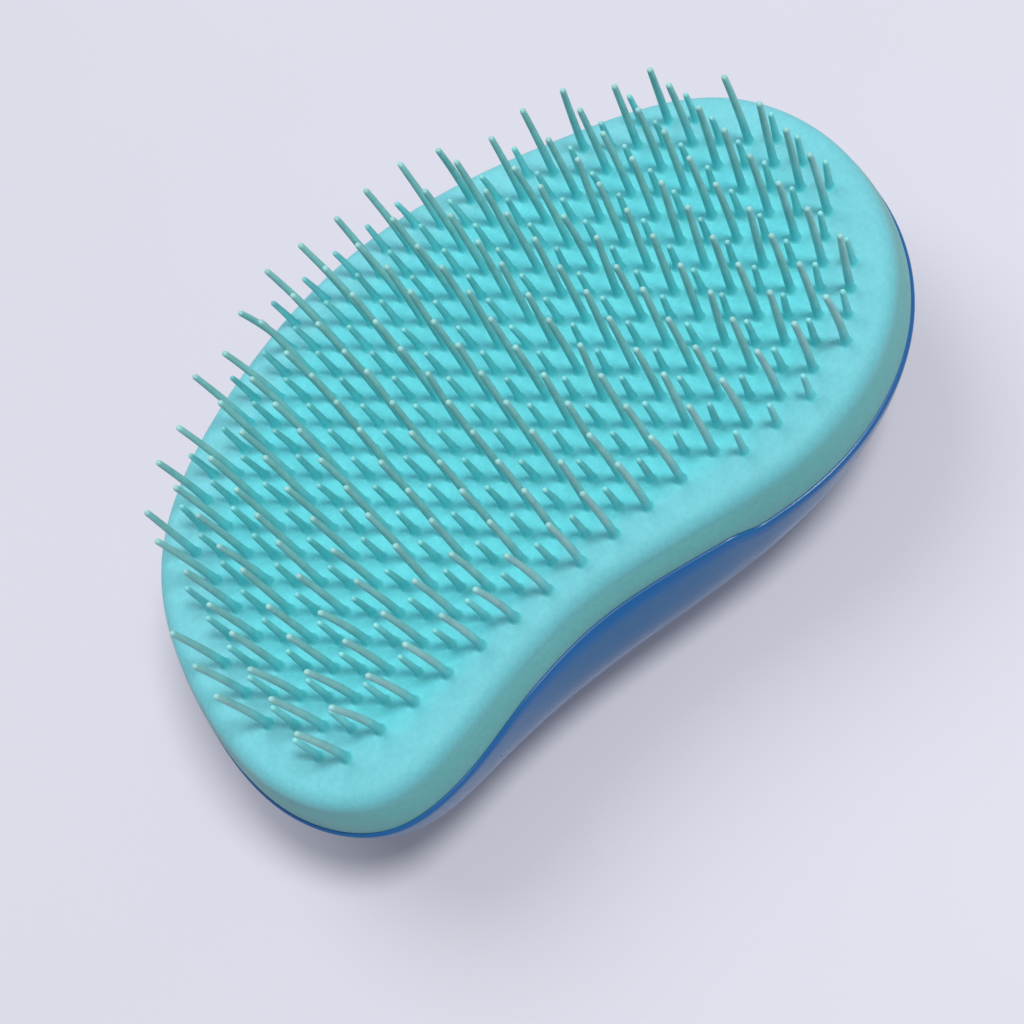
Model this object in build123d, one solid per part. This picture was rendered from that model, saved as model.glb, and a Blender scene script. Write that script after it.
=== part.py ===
"""Palm-held scalp massage and detangling brush.

A bean-shaped tooth pad with a short skirt snaps over the rim of a hollow
domed back shell.  Eleven rows of long teeth and twelve rows of short teeth
stand on the pad in two interleaved grids.  Every tooth flexes at its root,
so each row is its own node, turning about a line through the round roots of
its teeth, just above the top face of the pad.

Frame: millimetres, +Z up along the teeth, X along the brush, the waist on
the -Y side, origin on the floor under the middle of the plan outline.
"""
import os

from build123d import *

# ---- heights ---------------------------------------------------------------
SHELL_DEPTH = 22.0        # resting face of the shell to its rim
SKIRT_DEPTH = 7.6         # rim of the shell to the top face of the pad
LONG_TOOTH = 13.9         # standing height above the pad
SHORT_TOOTH = 6.0
PAD_TOP = SHELL_DEPTH + SKIRT_DEPTH

# ---- pad and shell ---------------------------------------------------------
SKIRT_DRAFT = 1.2         # how far the skirt leans in over its height
TOP_ROLL = 2.4            # radius where the top face turns into the skirt
SKIRT_WALL = 1.6
TOP_WALL = 2.6
RIM_PROUD = 0.5           # the shell rim stands this far outside the skirt
TONGUE_GAP = 0.1          # free space between skirt and tongue
TONGUE_WALL = 1.2
TONGUE_RISE = 3.2
SHELL_WALL = SKIRT_WALL + TONGUE_GAP + TONGUE_WALL
WAIST_RISE = 1.5          # the seam climbs this far along the waist

# ---- tooth field -----------------------------------------------------------
PITCH = 5.2               # tooth to tooth along a row
ROW_STEP = 5.12           # long row to long row, with a short row midway
ROOT_GAP = 0.04           # free space under the round root, so it can roll
ROOT_RADIUS = 0.80        # round root of each tooth, centred on the flex line
FLEX_LINE = PAD_TOP + ROOT_GAP + ROOT_RADIUS
LONG_SHAFT = (0.60, 0.36)     # shaft radius above the root, and at the tip
SHORT_SHAFT = (0.50, 0.33)
FLARE_HEIGHT = 1.5        # the root flare dies out this far above the flex line

# First and last tooth of each row, counted in pitches from the middle.
LONG_ROWS = [
    (-8, 7), (-8, 8), (-9, 8), (-9, 9), (-9, 9), (-8, 9),
    (-8, 9), (-8, 8), (-7, 8), (-5, 6), (-3, 3),
]
SHORT_ROWS = [
    (3.5, 5.5), (-8.5, 7.5), (-8.5, 8.5), (-8.5, 8.5), (-8.5, 9.5), (-8.5, 9.5),
    (-8.5, 9.5), (-7.5, 8.5), (-7.5, 8.5), (-6.5, 7.5), (-4.5, 4.5), (-2.5, 1.5),
]

# Plan outline of the rim, anticlockwise from the right-hand end.
BEAN = [
    (55.9, -4.1),         # right-hand end
    (50.2, 14.7),
    (32.5, 25.7),
    (4.0, 33.4),          # crown of the full side
    (-26.0, 28.6),
    (-47.2, 14.4),
    (-54.0, -8.3),        # left-hand end
    (-50.7, -26.0),
    (-43.6, -33.1),       # left lobe
    (-29.8, -33.6),
    (-8.3, -30.4),        # deepest point of the waist
    (25.1, -34.2),        # right lobe
    (45.3, -26.1),
]
WAIST_POINT = 10          # which outline point the shell fills out


def bean_wire(inset, height, waist_fill=0.0, scale=1.0):
    """Closed curve through the outline points, moved inwards and then scaled."""
    points = []
    count = len(BEAN)
    for index in range(count):
        before = Vector(*BEAN[index - 1])
        after = Vector(*BEAN[(index + 1) % count])
        along = (after - before).normalized()
        inwards = Vector(-along.Y, along.X)
        point = Vector(*BEAN[index]) + inwards * inset
        if index == WAIST_POINT:
            point = point - Vector(0, waist_fill)
        points.append(Vector(point.X * scale, point.Y * scale, height))
    return Wire([Edge.make_spline(points, periodic=True)])


def bean_slab(inset, bottom, top):
    """Straight-sided slab with the plan of the rim outline."""
    return Solid.extrude(Face(bean_wire(inset, bottom)), Vector(0, 0, top - bottom))


def bean_loft(stations):
    """Smooth body through (inset, height, waist fill, scale) stations."""
    return Solid.make_loft([bean_wire(*station) for station in stations])


def waist_prism(lower, end_trim):
    """Region along the waist in which the shell rim climbs above the seam."""
    top = SHELL_DEPTH + WAIST_RISE - lower
    left = -33.0 + end_trim
    right = 15.0 - end_trim
    profile = Polyline(
        (left, SHELL_DEPTH - 1.0),
        (right, SHELL_DEPTH - 1.0),
        (right - 1.0, SHELL_DEPTH),
        (right - 4.0, top),
        (left + 14.0, top),
        (left + 1.0, SHELL_DEPTH),
        close=True,
    )
    face = Plane.XZ * make_face(profile)
    return extrude(face, amount=45.0).moved(Location((0, -10, 0)))


def tooth(length, shaft):
    """One tooth standing on its round root, root centre at the origin."""
    low, tip = shaft
    length = length - ROOT_GAP - ROOT_RADIUS
    with BuildPart() as body:
        with BuildSketch(Plane.XZ):
            with BuildLine():
                root = CenterArc((0, 0), ROOT_RADIUS, 270, 90)
                flare = Spline(
                    root @ 1,
                    (low, FLARE_HEIGHT),
                    tangents=[(0, 1), (tip - low, length - FLARE_HEIGHT)],
                )
                side = Line(flare @ 1, (tip, length - tip))
                cap = CenterArc((0, length - tip), tip, 0, 90)
                Line(cap @ 1, root @ 0)
            make_face()
        revolve(axis=Axis.Z)
    return body.part.solid()


def row_places(rows, shift):
    """Root centres of every row: a list of points for each row."""
    places = []
    for index, (first, last) in enumerate(rows):
        y = (index - 5 + shift) * ROW_STEP
        count = int(last - first) + 1
        places.append([(PITCH * (first + step), y) for step in range(count)])
    return places


def make_pad():
    """Top plate and skirt in one hollow moulding."""
    body = bean_loft([(0, SHELL_DEPTH, 0), (SKIRT_DRAFT, PAD_TOP, 0)])
    body = fillet(body.edges().group_by(Axis.Z)[-1], TOP_ROLL)
    hollow = bean_loft([
        (SKIRT_WALL, SHELL_DEPTH - 1.0, 0),
        (SKIRT_WALL, SHELL_DEPTH + 4.0, 0),
        (SKIRT_WALL + 1.2, PAD_TOP - TOP_WALL, 0),
    ])
    return (body - hollow - waist_prism(0.0, 0.0)).solid()


def make_shell():
    """Hollow dome with a proud rim, a tongue inside the skirt and a flat foot."""
    depth = SHELL_DEPTH
    outside = bean_loft([
        (-RIM_PROUD, depth, 0.0, 1.0),
        (0.0, depth - 5.5, 2.4, 0.985),
        (0.0, depth - 12.5, 2.8, 0.90),
        (0.0, depth - 18.5, 3.2, 0.72),
        (0.0, 0.0, 3.6, 0.42),
    ])
    inside = bean_loft([
        (SHELL_WALL, depth + 1.0, 0.0, 1.0),
        (SHELL_WALL, depth - 5.5, 2.2, 0.985),
        (SHELL_WALL, depth - 12.0, 2.4, 0.89),
        (SHELL_WALL, depth - 16.8, 2.6, 0.70),
        (SHELL_WALL, 2.4, 2.8, 0.42),
    ])
    body = outside - inside
    low = depth - 0.5
    high = depth + TONGUE_RISE
    inner = SKIRT_WALL + TONGUE_GAP
    tongue = bean_slab(inner, low, high) - bean_slab(SHELL_WALL, low - 1, high + 1)
    climb = bean_slab(-RIM_PROUD + 0.3, low, depth + WAIST_RISE)
    climb = climb - bean_slab(inner + 0.4, low - 1, high + 1)
    climb = climb & waist_prism(0.05, 0.05)
    return (body + tongue + climb).solid()


def make_row(points, length, shaft):
    """All the teeth of one row, as separate solids in one compound."""
    pattern = tooth(length, shaft)
    teeth = [pattern.moved(Location((x, y, FLEX_LINE))) for x, y in points]
    return Compound(children=teeth)


def main():
    long_places = row_places(LONG_ROWS, 0.0)
    short_places = row_places(SHORT_ROWS, -0.5)
    nodes = {
        "tooth_pad": make_pad(),
        "back_shell": make_shell(),
    }
    for number, points in enumerate(long_places, start=1):
        nodes[f"long_tooth_row_{number:02d}"] = make_row(points, LONG_TOOTH, LONG_SHAFT)
    for number, points in enumerate(short_places, start=1):
        nodes[f"short_tooth_row_{number:02d}"] = make_row(points, SHORT_TOOTH, SHORT_SHAFT)

    box = nodes["back_shell"].bounding_box()
    centre = Location((-(box.min.X + box.max.X) / 2, -(box.min.Y + box.max.Y) / 2, 0))
    os.makedirs("parts", exist_ok=True)
    for name, shape in nodes.items():
        export_step(shape.moved(centre), f"parts/{name}.step")


main()
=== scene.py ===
"""Looks of the palm-held scalp massage brush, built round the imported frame.

Lengths are millimetres in the frame of the part, unless they are marked as
metres: +Z up along the teeth, X along the brush, the waist on the -Y side.
The CAD teeth stand straight; here they have the lean that use has given them.
"""
import math
import random
from collections import namedtuple

import bpy
import numpy as np
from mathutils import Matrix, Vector


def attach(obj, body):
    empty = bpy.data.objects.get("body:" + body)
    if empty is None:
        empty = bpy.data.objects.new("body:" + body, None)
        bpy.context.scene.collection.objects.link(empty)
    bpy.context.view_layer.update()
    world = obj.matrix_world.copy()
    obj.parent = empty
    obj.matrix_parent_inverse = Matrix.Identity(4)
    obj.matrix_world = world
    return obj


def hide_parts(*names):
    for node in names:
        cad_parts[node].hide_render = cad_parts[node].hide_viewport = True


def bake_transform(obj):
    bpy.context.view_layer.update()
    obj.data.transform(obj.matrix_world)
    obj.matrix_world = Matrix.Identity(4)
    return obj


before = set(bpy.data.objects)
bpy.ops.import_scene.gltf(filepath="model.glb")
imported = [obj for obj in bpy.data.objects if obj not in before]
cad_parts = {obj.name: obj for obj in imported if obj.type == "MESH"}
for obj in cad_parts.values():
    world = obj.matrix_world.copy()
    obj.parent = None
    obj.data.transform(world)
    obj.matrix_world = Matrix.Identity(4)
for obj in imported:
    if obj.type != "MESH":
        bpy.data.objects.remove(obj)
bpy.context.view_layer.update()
random.seed(7)

MM = 0.001

# ---- sizes shared with the CAD ----------------------------------------------
RIM_Z = 22.0               # rim of the shell, where the skirt begins
TOP_Z = RIM_Z + 7.6        # top face of the pad
LONG_TIP = TOP_Z + 13.9
SHORT_TIP = TOP_Z + 6.0
PITCH = 5.2                # tooth to tooth along a row
ROW_STEP = 5.12            # long row to long row
PLAN_SHIFT = (-0.986, 0.414)   # from the outline's own origin to the part's
TOP_ROLL = 2.4             # radius where the top face turns into the skirt
SKIRT_DRAFT = 1.2          # how far the skirt leans in over its height
RIM_STRIP = 1.6            # depth of the shell's lip below the seam
WAIST_RISE = 1.5           # how far the seam climbs along the waist
CLIMB_LEFT = (-32.0, 13.0)     # where the climb starts at its left end, and its run
CLIMB_RIGHT = (15.0, 4.5)      # the same at its right end
CLIMB_SIDE = -15.0             # the climb is only on the side below this y
BEAN = [                   # plan outline of the rim, anticlockwise from the right-hand end
    (55.9, -4.1), (50.2, 14.7), (32.5, 25.7), (4.0, 33.4), (-26.0, 28.6),
    (-47.2, 14.4), (-54.0, -8.3), (-50.7, -26.0), (-43.6, -33.1), (-29.8, -33.6),
    (-8.3, -30.4), (25.1, -34.2), (45.3, -26.1),
]
WAIST_POINT = 10           # which outline point the shell fills out
LONG_ROWS = [              # first and last tooth of each row, in pitches from the middle
    (-8, 7), (-8, 8), (-9, 8), (-9, 9), (-9, 9), (-8, 9),
    (-8, 9), (-8, 8), (-7, 8), (-5, 6), (-3, 3),
]
SHORT_ROWS = [
    (3.5, 5.5), (-8.5, 7.5), (-8.5, 8.5), (-8.5, 8.5), (-8.5, 9.5), (-8.5, 9.5),
    (-8.5, 9.5), (-7.5, 8.5), (-7.5, 8.5), (-6.5, 7.5), (-4.5, 4.5), (-2.5, 1.5),
]
MIDDLE_ROW = 5             # index of the long row on the middle line
AROUND = 320               # points round the outline


# ---- outline ----------------------------------------------------------------
def closed_spline(points, count):
    """Periodic cubic through the points, spaced by chord length."""
    p = np.array(points, float)
    n = len(p)
    h = np.linalg.norm(np.roll(p, -1, axis=0) - p, axis=1)
    a = np.zeros((n, n))
    rhs = np.zeros((n, 2))
    slope = (np.roll(p, -1, axis=0) - p) / h[:, None]
    for i in range(n):
        a[i, i - 1] = h[i - 1]
        a[i, i] = 2 * (h[i - 1] + h[i])
        a[i, (i + 1) % n] = h[i]
        rhs[i] = 6 * (slope[i] - slope[i - 1])
    m = np.linalg.solve(a, rhs)
    knots = np.concatenate([[0], np.cumsum(h)])
    out = []
    for t in np.linspace(0, knots[-1], count, endpoint=False):
        i = min(int(np.searchsorted(knots, t, side="right")) - 1, n - 1)
        j = (i + 1) % n
        u = t - knots[i]
        w = h[i] - u
        out.append(
            (m[i] * w ** 3 + m[j] * u ** 3) / (6 * h[i])
            + (p[i] / h[i] - m[i] * h[i] / 6) * w
            + (p[j] / h[i] - m[j] * h[i] / 6) * u
        )
    return np.array(out)


def outline(inset=0.0, fill=0.0, scale=1.0):
    """Plan of the brush in the part's frame, moved inwards along its normals."""
    points = [list(point) for point in BEAN]
    points[WAIST_POINT][1] -= fill
    curve = closed_spline(points, AROUND)
    along = np.roll(curve, -1, axis=0) - np.roll(curve, 1, axis=0)
    along /= np.linalg.norm(along, axis=1)[:, None]
    inwards = np.stack([-along[:, 1], along[:, 0]], axis=1)
    return (curve + inwards * inset) * scale + np.array(PLAN_SHIFT)


def ease(share):
    """Smooth step from 0 to 1."""
    share = np.clip(share, 0, 1)
    return share * share * (3 - 2 * share)


def climb(xy):
    """How far the seam climbs along the waist, for every outline point."""
    x = xy[:, 0] - PLAN_SHIFT[0]
    left = ease((x - CLIMB_LEFT[0]) / CLIMB_LEFT[1])
    right = ease((CLIMB_RIGHT[0] - x) / CLIMB_RIGHT[1])
    near = xy[:, 1] < CLIMB_SIDE
    return WAIST_RISE * np.minimum(left, right) * near


# ---- mesh helpers -----------------------------------------------------------
def new_object(name, verts, faces, material):
    """Smooth-shaded mesh object from millimetre vertices."""
    mesh = bpy.data.meshes.new(name)
    mesh.from_pydata([tuple(c * MM for c in v) for v in verts], [], faces)
    mesh.validate()
    mesh.materials.append(material)
    for polygon in mesh.polygons:
        polygon.use_smooth = True
    obj = bpy.data.objects.new(name, mesh)
    bpy.context.scene.collection.objects.link(obj)
    return obj


def skin_of_rings(rings):
    """Quads between rings of equal length, with fans closing the two ends."""
    n = len(rings[0])
    verts = [tuple(v) for ring in rings for v in ring]
    faces = []
    for r in range(len(rings) - 1):
        for i in range(n):
            j = (i + 1) % n
            faces.append((r * n + i, r * n + j, (r + 1) * n + j, (r + 1) * n + i))
    for end, flip in ((0, True), (len(rings) - 1, False)):
        centre = np.mean(np.array(rings[end]), axis=0)
        verts.append(tuple(centre))
        c = len(verts) - 1
        for i in range(n):
            j = (i + 1) % n
            face = (end * n + i, end * n + j, c)
            faces.append(face[::-1] if flip else face)
    return verts, faces


def ring(inset, z, rise_share=0.0, fill=0.0, scale=1.0):
    """Level ring round the brush, lifted by a share of the climb at the waist."""
    xy = outline(inset, fill, scale)
    lift = climb(outline()) * rise_share
    return np.column_stack([xy, np.full(len(xy), z) + lift])


def mark_points(obj, name, chosen):
    """Point attribute that is 1 on a range of point numbers and 0 elsewhere."""
    marks = obj.data.attributes.new(name, "FLOAT", "POINT")
    for index, mark in enumerate(marks.data):
        mark.value = 1.0 if index in chosen else 0.0


# ---- materials --------------------------------------------------------------
GRAIN_DEPTH = 0.0002       # metres
PAINTED_SKIRT_SHADE_SPAN = (22.2, 29.2)     # heights over which the painted shade on the skirt wall gives way to lighter colour
PAINTED_SHADE_FADE_SHARE = 0.62           # from this share of them on, the painted skirt shade fades into the colour of the top face


def node_material(name):
    """Empty node material with one shader wired to its output."""
    material = bpy.data.materials.new(name)
    material.use_nodes = True
    tree = material.node_tree
    tree.nodes.clear()
    out = tree.nodes.new("ShaderNodeOutputMaterial")
    shader = tree.nodes.new("ShaderNodeBsdfPrincipled")
    tree.links.new(shader.outputs["BSDF"], out.inputs["Surface"])
    return material, tree, shader


def noise(tree, coords, scale, detail=3.0, rough=0.5):
    node = tree.nodes.new("ShaderNodeTexNoise")
    node.inputs["Scale"].default_value = scale
    node.inputs["Detail"].default_value = detail
    node.inputs["Roughness"].default_value = rough
    tree.links.new(coords, node.inputs["Vector"])
    return node.outputs["Fac"]


def ramp(tree, value, stops):
    node = tree.nodes.new("ShaderNodeValToRGB")
    elements = node.color_ramp.elements
    while len(elements) < len(stops):
        elements.new(0.5)
    for element, (position, colour) in zip(elements, stops):
        element.position = position
        element.color = (*colour, 1.0)
    tree.links.new(value, node.inputs["Fac"])
    return node.outputs["Color"]


def feed(tree, socket, value):
    """Give a socket a number, a colour or another node's output."""
    if isinstance(value, (int, float)):
        socket.default_value = value
    elif isinstance(value, tuple):
        socket.default_value = (*value, 1.0)
    else:
        tree.links.new(value, socket)


def mix(tree, factor, a, b, mode="MIX"):
    node = tree.nodes.new("ShaderNodeMix")
    node.data_type = "RGBA"
    node.blend_type = mode
    for name, value in (("Factor", factor), ("A", a), ("B", b)):
        feed(tree, node.inputs[name], value)
    return node.outputs["Result"]


def maths(tree, operation, a, b=0.0, clamp=False):
    node = tree.nodes.new("ShaderNodeMath")
    node.operation = operation
    node.use_clamp = clamp
    for socket, value in zip(node.inputs, (a, b)):
        feed(tree, socket, value)
    return node.outputs["Value"]


def grain(tree, shader, height, strength):
    """Fine surface grain as a bump."""
    node = tree.nodes.new("ShaderNodeBump")
    node.inputs["Strength"].default_value = strength
    node.inputs["Distance"].default_value = GRAIN_DEPTH
    tree.links.new(height, node.inputs["Height"])
    tree.links.new(node.outputs["Normal"], shader.inputs["Normal"])


def set_inputs(shader, values):
    for name, value in values.items():
        shader.inputs[name].default_value = value


def attribute(tree, name):
    node = tree.nodes.new("ShaderNodeAttribute")
    node.attribute_name = name
    return node.outputs["Fac"]


def object_coords(tree):
    return tree.nodes.new("ShaderNodeTexCoord").outputs["Object"]


def height_of(tree, coords):
    """Height above the floor, in metres."""
    node = tree.nodes.new("ShaderNodeSeparateXYZ")
    tree.links.new(coords, node.inputs["Vector"])
    return node.outputs["Z"]


def share_between(tree, height, low, high):
    """Share of the way from one height to another, both in millimetres."""
    above = maths(tree, "SUBTRACT", height, low * MM)
    return maths(tree, "DIVIDE", above, (high - low) * MM, True)


def grey(level):
    return (level, level, level)


def pad_material():
    material, tree, shader = node_material("pad_soft_touch")
    coords = object_coords(tree)
    height = height_of(tree, coords)
    tint = ramp(tree, noise(tree, coords, 45.0, 4.0), [
        (0.30, (0.162, 0.558, 0.615)),
        (0.70, (0.178, 0.604, 0.662)),
    ])
    # Painted bounce light: the toothed field is coloured a richer cyan than the bare margin, for
    # the light the teeth and pad throw on each other.
    painted_bounce_tint = mix(tree, 1.0, tint, (0.76, 1.11, 1.10), "MULTIPLY")
    tint = mix(tree, attribute(tree, "toothed"), tint, painted_bounce_tint)
    up_skirt = share_between(tree, height, *PAINTED_SKIRT_SHADE_SPAN)
    # Painted shade: the skirt wall is coloured darker and greyer than the top face, for the lesser
    # light that falls on it.
    skirt = ramp(tree, up_skirt, [
        (0.0, (0.136, 0.440, 0.438)),
        (0.66, (0.142, 0.468, 0.466)),
        (1.0, (0.162, 0.590, 0.625)),
    ])
    # The painted skirt shade fades into the top face's colour over the top of the wall and the
    # roll.
    on_top = maths(tree, "MULTIPLY", maths(tree, "SUBTRACT", up_skirt, PAINTED_SHADE_FADE_SHARE), 2.6, True)
    colour = mix(tree, on_top, skirt, tint)
    handled = ramp(tree, noise(tree, coords, 9.0, 5.0, 0.6), [
        (0.45, (1.0, 1.0, 1.0)),
        (0.80, (0.93, 0.95, 0.95)),
    ])
    colour = mix(tree, 1.0, colour, handled, "MULTIPLY")
    speckle = ramp(tree, noise(tree, coords, 1500.0, 2.0, 0.7), [
        (0.35, (0.93, 0.95, 0.95)),
        (0.65, (1.05, 1.03, 1.03)),
    ])
    tree.links.new(mix(tree, 1.0, colour, speckle, "MULTIPLY"), shader.inputs["Base Color"])
    rough = ramp(tree, noise(tree, coords, 120.0), [(0.3, grey(0.56)), (0.7, grey(0.66))])
    tree.links.new(rough, shader.inputs["Roughness"])
    set_inputs(shader, {
        "Specular IOR Level": 0.30,
        "Subsurface Weight": 0.12,
        "Subsurface Radius": (0.5, 1.0, 1.0),
        "Subsurface Scale": 0.002,
        "Sheen Weight": 0.10,
    })
    grain(tree, shader, noise(tree, coords, 2600.0, 2.0), 0.12)
    return material


def tooth_material(name, foot, middle, tip, tip_z):
    """Satin plastic whose colour changes from the foot of a tooth to its tip."""
    material, tree, shader = node_material(name)
    coords = object_coords(tree)
    up_tooth = share_between(tree, height_of(tree, coords), TOP_Z, tip_z)
    colour = ramp(tree, up_tooth, [
        (0.0, foot),
        (0.10, foot),
        (0.50, middle),
        (0.92, middle),
        (1.0, tip),
    ])
    mottled = ramp(tree, noise(tree, coords, 380.0, 4.0), [
        (0.35, (0.86, 0.88, 0.88)),
        (0.65, (1.05, 1.04, 1.03)),
    ])
    tree.links.new(mix(tree, 1.0, colour, mottled, "MULTIPLY"), shader.inputs["Base Color"])
    set_inputs(shader, {
        "Roughness": 0.52,
        "Specular IOR Level": 0.35,
        "Subsurface Weight": 0.05,
        "Subsurface Scale": 0.001,
    })
    grain(tree, shader, noise(tree, coords, 2200.0, 2.0), 0.06)
    return material


def shell_material():
    material, tree, shader = node_material("shell_gloss")
    coords = object_coords(tree)
    deep = ramp(tree, noise(tree, coords, 26.0, 3.0), [
        (0.3, (0.020, 0.128, 0.305)),
        (0.7, (0.024, 0.146, 0.340)),
    ])
    strip = attribute(tree, "rim_strip")
    tree.links.new(mix(tree, strip, deep, (0.010, 0.125, 0.360)), shader.inputs["Base Color"])
    smears = ramp(tree, noise(tree, coords, 70.0, 5.0, 0.6), [
        (0.35, grey(0.22)),
        (0.75, grey(0.34)),
    ])
    tree.links.new(mix(tree, strip, smears, grey(0.34)), shader.inputs["Roughness"])
    set_inputs(shader, {"Specular IOR Level": 0.38, "Coat Weight": 0.10, "Coat Roughness": 0.08})
    grain(tree, shader, noise(tree, coords, 420.0, 2.0), 0.012)
    return material


def floor_material():
    material, tree, shader = node_material("pale_glowing_floor")
    coords = object_coords(tree)
    colour = ramp(tree, noise(tree, coords, 3.0, 4.0), [
        (0.3, (0.565, 0.560, 0.625)),
        (0.7, (0.605, 0.600, 0.665)),
    ])
    tree.links.new(colour, shader.inputs["Base Color"])
    # Painted fill light: the floor glows faintly in its own colour, which lifts its shadows and
    # lights the shell from below.
    tree.links.new(colour, shader.inputs["Emission Color"])
    set_inputs(shader, {"Emission Strength": 0.14, "Roughness": 0.85})
    return material


PAD = pad_material()
SHELL = shell_material()
LONG_MAT = tooth_material(
    "long_tooth_plastic",
    foot=(0.155, 0.670, 0.710), middle=(0.308, 0.665, 0.650), tip=(0.320, 0.665, 0.650),
    tip_z=LONG_TIP)
SHORT_MAT = tooth_material(
    "short_tooth_plastic",
    foot=(0.160, 0.700, 0.740), middle=(0.238, 0.725, 0.735), tip=(0.290, 0.725, 0.730),
    tip_z=SHORT_TIP)


# ---- pad --------------------------------------------------------------------
SKIRT_EDGE = [             # rounded lower edge of the skirt: inset, height above the seam
    (2.0, 3.0), (1.5, 0.3), (1.1, 0.03), (0.30, 0.03), (0.14, 0.06), (0.04, 0.16), (0.02, 0.40),
]
SKIRT_BULGE = 0.25         # how far the skirt swells out halfway up
SKIRT_TOP_INSET = SKIRT_DRAFT - 0.05
SKIRT_STEPS = 6
ROLL_STEPS = 12
MARGIN_RINGS = (0.97, 0.92)        # rings on the top face, as shares of its edge
TOOTHED_RINGS = (0.8, 0.6, 0.4, 0.2)


def make_pad():
    rings = [ring(inset, RIM_Z + rise, 1.0) for inset, rise in SKIRT_EDGE]
    foot_inset, foot_rise = SKIRT_EDGE[-1]
    wall_foot = RIM_Z + foot_rise
    wall_top = TOP_Z - TOP_ROLL
    for step in range(1, SKIRT_STEPS + 1):
        share = step / SKIRT_STEPS
        inset = foot_inset + (SKIRT_TOP_INSET - foot_inset) * share
        bulge = SKIRT_BULGE * math.sin(math.pi * share)
        z = wall_foot + (wall_top - wall_foot) * share
        rings.append(ring(inset - bulge, z, 1.0 - share))
    for step in range(1, ROLL_STEPS + 1):
        angle = math.pi / 2 * step / ROLL_STEPS
        inset = SKIRT_TOP_INSET + TOP_ROLL * (1 - math.cos(angle))
        rings.append(ring(inset, wall_top + TOP_ROLL * math.sin(angle)))
    edge = outline(SKIRT_TOP_INSET + TOP_ROLL)
    middle = edge.mean(axis=0)
    for share in MARGIN_RINGS + TOOTHED_RINGS:
        xy = middle + (edge - middle) * share
        rings.append(np.column_stack([xy, np.full(len(xy), TOP_Z)]))
    verts, faces = skin_of_rings(rings)
    pad = new_object("pad_skin", verts, faces, PAD)
    first_toothed = (len(rings) - len(TOOTHED_RINGS)) * AROUND
    # toothed marks the field that takes the painted bounce colour
    mark_points(pad, "toothed", range(first_toothed, len(verts)))
    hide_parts("tooth_pad")
    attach(pad, "brush_body")


# ---- shell ------------------------------------------------------------------
SHELL_STATIONS = [         # height, inset, waist fill, scale
    (22.0, -0.50, 0.0, 1.000),
    (16.5, 0.00, 2.4, 0.985),
    (9.5, 0.00, 2.8, 0.900),
    (3.5, 0.00, 3.2, 0.720),
    (0.0, 0.00, 3.6, 0.420),
]
SHELL_EDGE = [             # rounded upper edge of the shell: inset, height above the seam
    (2.4, 2.0), (2.2, 0.2), (1.2, -0.02), (0.02, -0.02), (-0.14, -0.07), (-0.30, -0.20),
    (-0.40, -0.38),
]
DOME_HALF_WIDTH = 45.0     # spaces the stations along the side of the dome
DOME_STEPS = 90
CLIMB_FADE = (12.0, 20.0)  # the climb at the waist fades out between these heights


def natural_spline(knots, values, count):
    """Smooth curve through the rows of values, as evenly spaced rows."""
    n = len(knots)
    h = np.diff(knots)
    a = np.eye(n)
    rhs = np.zeros_like(values)
    for i in range(1, n - 1):
        a[i, i - 1:i + 2] = h[i - 1], 2 * (h[i - 1] + h[i]), h[i]
        rhs[i] = 6 * ((values[i + 1] - values[i]) / h[i] - (values[i] - values[i - 1]) / h[i - 1])
    m = np.linalg.solve(a, rhs)
    out = []
    for t in np.linspace(knots[0], knots[-1], count):
        i = min(int(np.searchsorted(knots, t, side="right")) - 1, n - 2)
        u, w = t - knots[i], knots[i + 1] - t
        out.append(
            (m[i] * w ** 3 + m[i + 1] * u ** 3) / (6 * h[i])
            + (values[i] / h[i] - m[i] * h[i] / 6) * w
            + (values[i + 1] / h[i] - m[i + 1] * h[i] / 6) * u
        )
    return np.array(out)


def make_shell():
    table = np.array(SHELL_STATIONS)
    half_width = DOME_HALF_WIDTH * table[:, 3]
    steps = np.hypot(np.diff(half_width), np.diff(table[:, 0]))
    knots = np.concatenate([[0.0], np.cumsum(steps)])
    dome = natural_spline(knots, table, DOME_STEPS)
    dome = dome[dome[:, 0] < RIM_Z - 0.5]
    rings = [ring(inset, RIM_Z + rise, 1.0) for inset, rise in SHELL_EDGE]
    strip_rings = len(rings) + int(np.sum(dome[:, 0] > RIM_Z - RIM_STRIP))
    for z, inset, fill, scale in dome:
        follow = min(1.0, max(0.0, (z - CLIMB_FADE[0]) / (CLIMB_FADE[1] - CLIMB_FADE[0])))
        rings.append(ring(inset, max(z, 0.0), follow, fill, scale))
    verts, faces = skin_of_rings(rings)
    faces = [face[::-1] for face in faces]
    shell = new_object("shell_skin", verts, faces, SHELL)
    mark_points(shell, "rim_strip", range(strip_rings * AROUND))
    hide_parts("back_shell")
    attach(shell, "brush_body")


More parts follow.
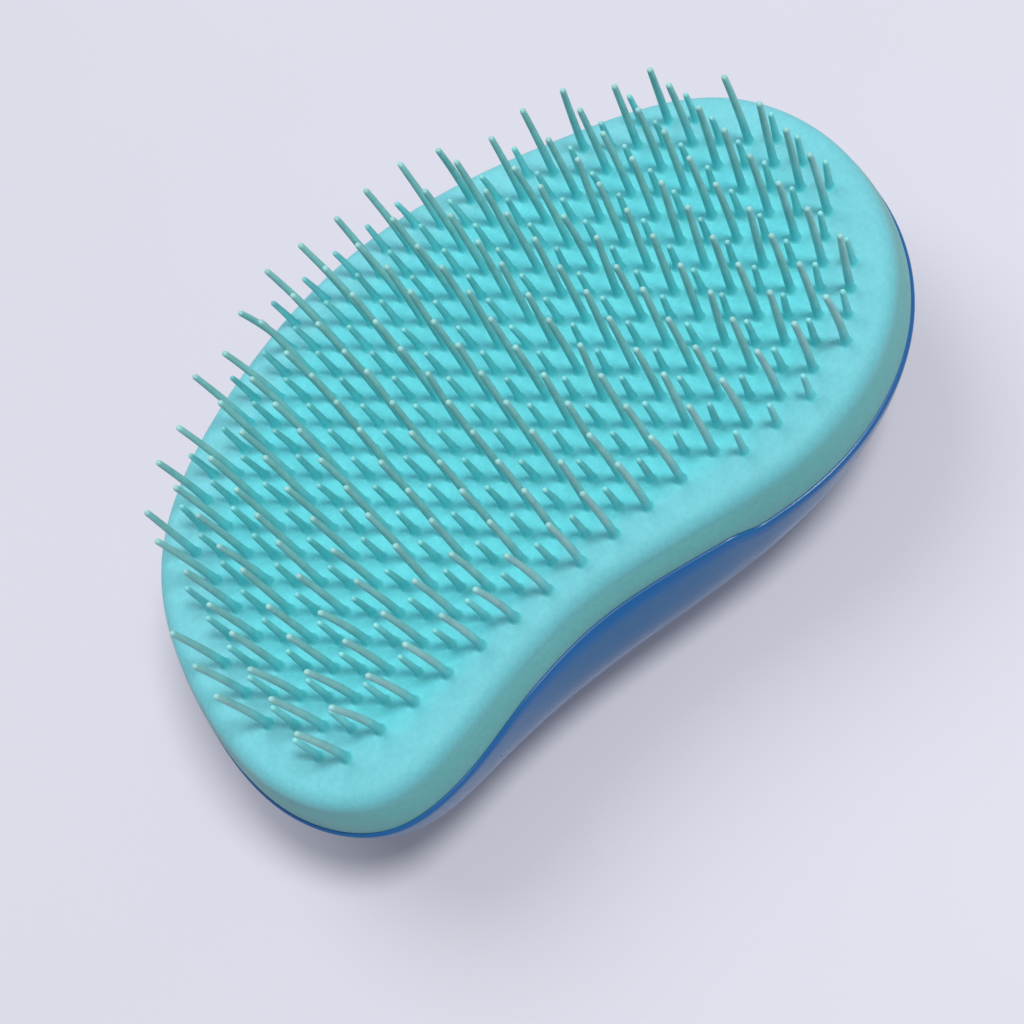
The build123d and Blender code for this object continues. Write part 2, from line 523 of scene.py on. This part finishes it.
# ---- teeth ------------------------------------------------------------------
TOOTH_SIDES = 14
LENGTH_LOSS = 0.35         # teeth are up to this much shorter than full length
FLARE = [                  # root of a tooth: height above the pad, radius past the shaft's
    (-0.25, 0.55), (0.0, 0.34), (0.10, 0.22), (0.28, 0.14), (0.55, 0.08), (0.95, 0.03), (1.5, 0.0),
]
SHAFT_RINGS = (0.25, 0.45, 0.65, 0.85)         # shares of the shaft's length
TIP_ANGLES = (0.0, 25.0, 50.0, 70.0, 84.0)     # up the round tip, in degrees
BOW = 1.6                  # power by which the lean grows up the tooth
STRAY_TEETH = {            # extra lean of bent long teeth, by row and place in pitches
    (7, -8): (-0.8, 0.9), (7, 9): (-0.2, 0.9), (8, -8): (0.6, -0.4),
    (9, -7): (0.3, -1.0), (9, -6): (-0.7, 1.2), (9, 8): (-0.1, -1.2),
    (10, 6): (0.2, -0.7), (11, -3): (-0.1, -2.6), (11, 3): (-0.1, -1.8),
}


def fan(v):
    """Grows from 0, halfway to the far edge, to about 1 at the farthest row."""
    return max(0.0, v - 0.5) / 0.37


def lean_long(x, y):
    """Set of the long teeth at the tip; u and v run from about -1 to 1 over the pad."""
    u, v = x / 50, y / 30
    return (
        -0.11 + 0.24 * u - 0.46 * u * u - 1.11 * v * v + fan(v) * (0.1 + 2.2 * u),
        0.43 - 0.22 * u + 0.48 * v - 0.44 * u * u - 0.27 * u * v
        + fan(v) * max(0.0, 1.1 - 1.6 * max(u, 0.0)),
    )


def lean_short(x, y):
    """Set of the short teeth at the tip."""
    u, v = x / 50, y / 30
    return (
        -0.34 + 0.06 * u + 0.33 * u * u - 0.16 * u * v + fan(v) * (0.6 * u - 0.1),
        0.10 - 0.39 * u + 0.41 * u * u + 0.22 * v * v + fan(v) * 0.5,
    )


Kind = namedtuple("Kind", "name rows shift tip_z low tip lean spread strays material")
KINDS = [                  # shift is in rows; low and tip are radii of the shaft
    Kind("long", LONG_ROWS, shift=0.0, tip_z=LONG_TIP, low=0.56, tip=0.40,
         lean=lean_long, spread=0.24, strays=STRAY_TEETH, material=LONG_MAT),
    Kind("short", SHORT_ROWS, shift=-0.5, tip_z=SHORT_TIP, low=0.49, tip=0.37,
         lean=lean_short, spread=0.12, strays={}, material=SHORT_MAT),
]


def tooth_rings(kind, x, y, stray):
    """Rings of one tooth: root flare, slightly bowed tapered shaft, round tip."""
    low, tip = kind.low, kind.tip
    length = kind.tip_z - TOP_Z - random.uniform(0.0, LENGTH_LOSS)
    lean_x, lean_y = kind.lean(x, y)
    lean_x += stray[0] + random.gauss(0, kind.spread)
    lean_y += stray[1] + random.gauss(0, kind.spread)
    size = math.hypot(lean_x, lean_y)
    top = length - size * size / (2 * length)      # a leaning tooth stands a little lower
    stations = [(z, low + wider) for z, wider in FLARE]
    flare_top = FLARE[-1][0]
    for share in SHAFT_RINGS:
        stations.append((flare_top + (top - tip - flare_top) * share, low + (tip - low) * share))
    for angle in np.radians(TIP_ANGLES):
        stations.append((top - tip + tip * math.sin(angle), tip * math.cos(angle)))
    turns = [2 * math.pi * side / TOOTH_SIDES for side in range(TOOTH_SIDES)]
    rings = []
    for z, radius in stations:
        bow = (max(z, 0.0) / top) ** BOW
        cx, cy = x + lean_x * bow, y + lean_y * bow
        rings.append([
            (cx + radius * math.cos(turn), cy + radius * math.sin(turn), TOP_Z + z)
            for turn in turns
        ])
    return rings


def make_row(kind, number, points):
    """One row as one mesh, its feet flaring into the pad, in place of the CAD row, which is
    hidden.
    """
    slot_name = f"{kind.name}_teeth"
    node = f"{kind.name}_tooth_row_{number:02d}"
    verts, faces = [], []
    for x, y, stray in points:
        some, quads = skin_of_rings(tooth_rings(kind, x, y, stray))
        start = len(verts)
        verts += some
        faces += [tuple(start + index for index in face) for face in quads]
    row = new_object(f"{slot_name}_{number:02d}", verts, faces, kind.material)
    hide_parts(node)
    y = points[0][1] * MM
    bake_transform(row)


def make_teeth():
    for kind in KINDS:
        for index, (first, last) in enumerate(kind.rows):
            number = index + 1
            y = (index - MIDDLE_ROW + kind.shift) * ROW_STEP + PLAN_SHIFT[1]
            points = []
            for step in range(int(last - first) + 1):
                place = first + step
                stray = kind.strays.get((number, place), (0.0, 0.0))
                points.append((PITCH * place + PLAN_SHIFT[0], y, stray))
            make_row(kind, number, points)


make_pad()
make_shell()
make_teeth()


# ---- floor, light and camera ------------------------------------------------
FLOOR_SIZE = 700.0
FLOOR_CELLS = 24
FLOOR_DROP = 0.00002       # metres; keeps the floor from touching the foot
AIM = (0, 0, 0.02)         # what the lights point at, in metres
LIGHTS = [                 # name, place and disk size in metres, power in watts, colour
    ("key", (0.208, -0.216, 0.83), 0.22, 4.9, (1.0, 0.99, 0.97)),
    ("far_sky", (-0.05, 0.42, 0.74), 0.60, 2.9, (0.96, 0.97, 1.0)),
]
SKY_COLOUR = (0.86, 0.89, 1.0, 1.0)
SKY_STRENGTH = 0.28
CAMERA_LENS = 63.3
CAMERA_SENSOR = 36.0
CAMERA_PLACE = (-0.01685, -0.11624, 0.22508)     # metres
CAMERA_TURN = (23.112, 15.706, -37.027)          # degrees


def make_floor():
    across = [FLOOR_SIZE * (step / FLOOR_CELLS - 0.5) for step in range(FLOOR_CELLS + 1)]
    verts = [(x, y, 0.0) for y in across for x in across]
    faces = []
    for row in range(FLOOR_CELLS):
        for column in range(FLOOR_CELLS):
            a = row * (FLOOR_CELLS + 1) + column
            b = a + FLOOR_CELLS + 1
            faces.append((a, a + 1, b + 1, b))
    floor = new_object("floor", verts, faces, floor_material())
    floor.location.z = -FLOOR_DROP


def area_light(name, place, size, power, colour):
    """Round soft light that points at the brush."""
    data = bpy.data.lights.new(name, "AREA")
    data.shape = "DISK"
    data.size = size
    data.energy = power
    data.color = colour
    light = bpy.data.objects.new(name, data)
    light.location = place
    direction = Vector(AIM) - Vector(place)
    light.rotation_euler = direction.to_track_quat("-Z", "Y").to_euler()
    bpy.context.scene.collection.objects.link(light)


def make_sky():
    world = bpy.data.worlds.new("studio")
    world.use_nodes = True
    background = world.node_tree.nodes["Background"]
    background.inputs["Color"].default_value = SKY_COLOUR
    background.inputs["Strength"].default_value = SKY_STRENGTH
    bpy.context.scene.world = world
    bpy.context.scene.view_settings.view_transform = "Standard"


def make_camera():
    data = bpy.data.cameras.new("camera")
    data.lens = CAMERA_LENS
    data.sensor_width = CAMERA_SENSOR
    data.clip_start = 0.01
    camera = bpy.data.objects.new("camera", data)
    camera.location = CAMERA_PLACE
    camera.rotation_euler = [math.radians(turn) for turn in CAMERA_TURN]
    bpy.context.scene.collection.objects.link(camera)
    bpy.context.scene.camera = camera


make_floor()
for light in LIGHTS:
    area_light(*light)
make_sky()
make_camera()
